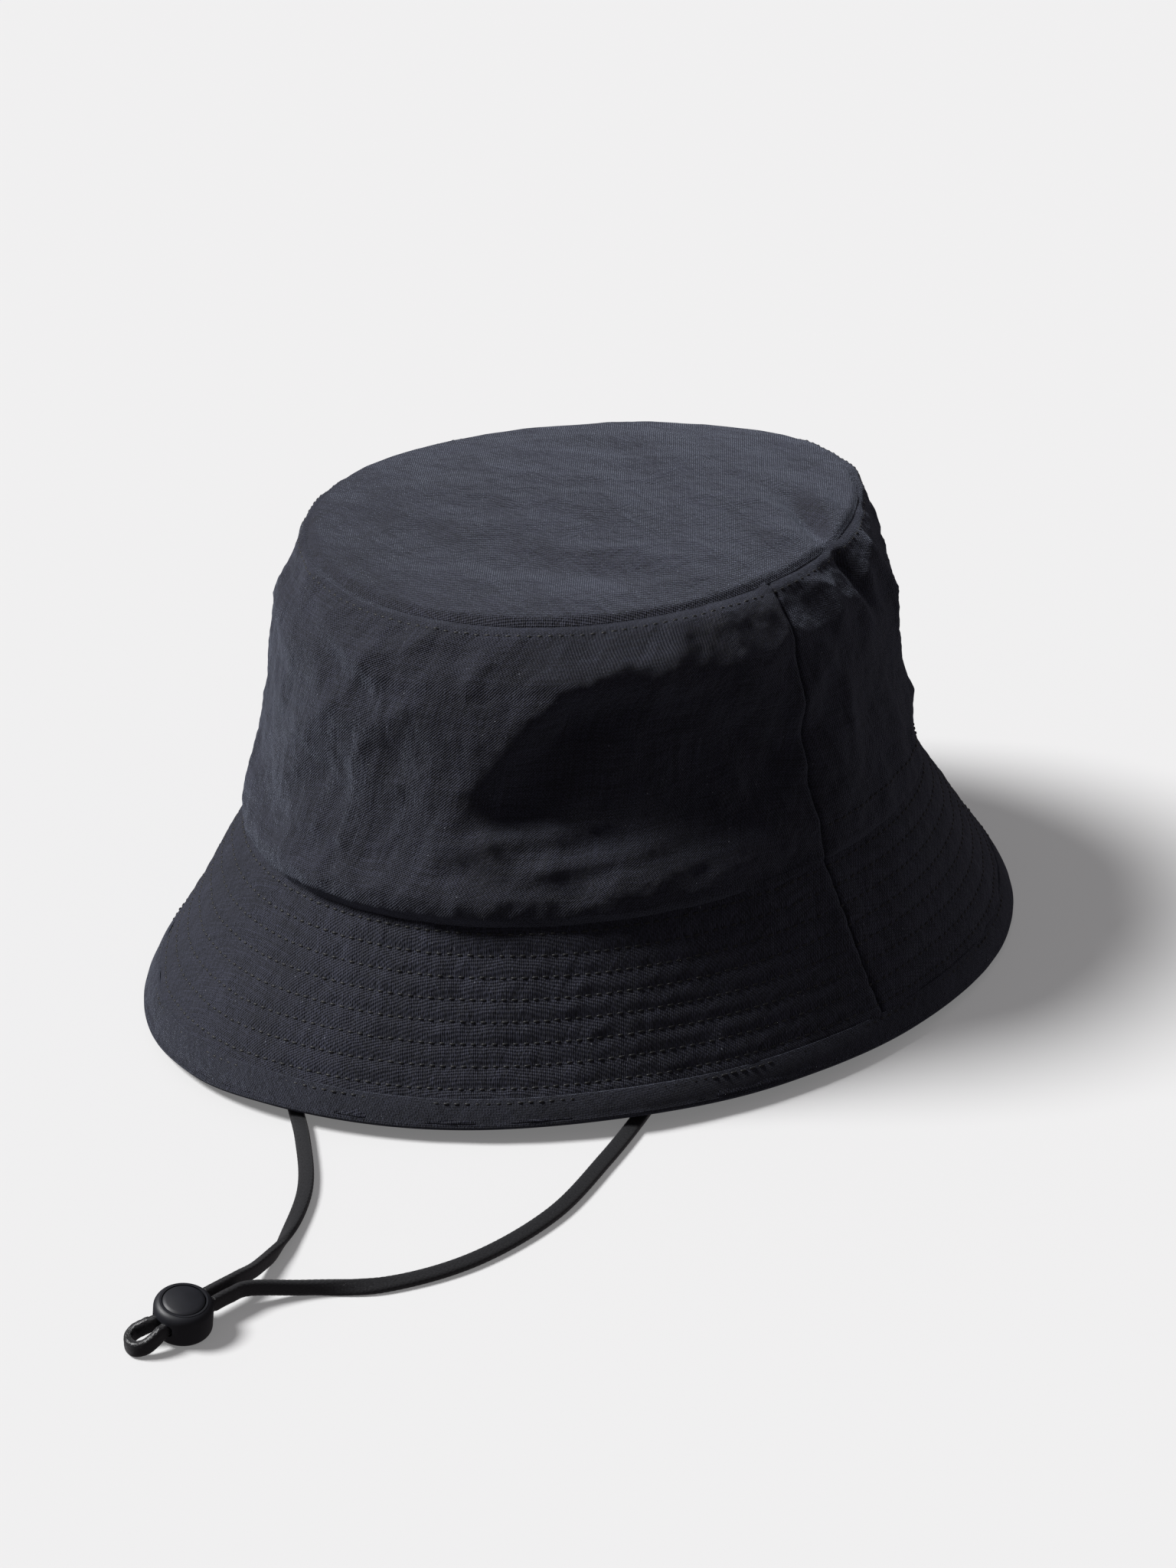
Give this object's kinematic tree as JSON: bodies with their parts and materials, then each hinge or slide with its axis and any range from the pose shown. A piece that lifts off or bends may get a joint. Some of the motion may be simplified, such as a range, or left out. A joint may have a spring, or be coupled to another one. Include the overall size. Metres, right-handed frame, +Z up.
{
  "type": "bucket hat",
  "caption": "Soft bucket hat with an oval crown, a row-stitched sloping brim, a chin cord and a push-button cord lock.",
  "frame": {"origin": "on the table under the middle of the hat, without its chin cord", "axes": "+Z up out of the crown, -Y the way the wearer faces, +X to the wearer's left ear"},
  "size_m": [0.2216, 0.3397, 0.1222],
  "materials": {
    "shell_cloth": "matt plain weave with a faint sheen",
    "liner_cloth": "matt fine twill",
    "interlining": "matt non-woven",
    "elastic": "matt ribbed knit",
    "thread": "twisted polyester, slight gloss",
    "cord": "flat braid, slight gloss",
    "lock_plastic": "fine matt moulding",
    "spring_steel": "bright drawn wire"
  },
  "bodies": {
    "hat": {"back_channel": "liner_cloth", "back_channel_topstitch": "thread", "back_elastic": "elastic", "brim_edge_binding": "shell_cloth", "brim_interlining_back": "interlining", "brim_interlining_front": "interlining", "brim_stitch_row_1": "thread", "brim_stitch_row_2": "thread", "brim_stitch_row_3": "thread", "brim_stitch_row_4": "thread", "brim_stitch_row_5": "thread", "brim_stitch_row_6": "thread", "brim_stitch_row_7": "thread", "brim_stitch_row_8": "thread", "brim_stitch_row_9": "thread", "brim_under_back": "shell_cloth", "brim_under_front": "shell_cloth", "brim_upper_back": "shell_cloth", "brim_upper_front": "shell_cloth", "care_label": "liner_cloth", "chin_cord": "cord", "cord_tab_left": "thread", "cord_tab_right": "thread", "cord_tab_tack_left": "thread", "cord_tab_tack_right": "thread", "crown_back_panel": "shell_cloth", "crown_front_panel": "shell_cloth", "crown_tip": "shell_cloth", "side_seam_tape_left": "liner_cloth", "side_seam_tape_right": "liner_cloth", "sweatband": "liner_cloth", "tip_seam_tape": "liner_cloth", "tip_topstitch": "thread"},
    "cord_lock": {"lock_barrel": "lock_plastic", "lock_spring": "spring_steel"},
    "lock_button": {"lock_button": "lock_plastic"}
  },
  "joints": [
    {"name": "lock_slide", "type": "slide", "parent": "hat", "child": "cord_lock", "axis": [0, 1, 0], "range_m": [0, 0.006]},
    {"name": "lock_press", "type": "slide", "parent": "cord_lock", "child": "lock_button", "axis": [-0.1736, 0, -0.9848], "range_m": [0, 0.001], "stiffness_N_per_m": 1500, "springref_m": -0.001, "deforming": ["lock_spring"]}
  ]
}
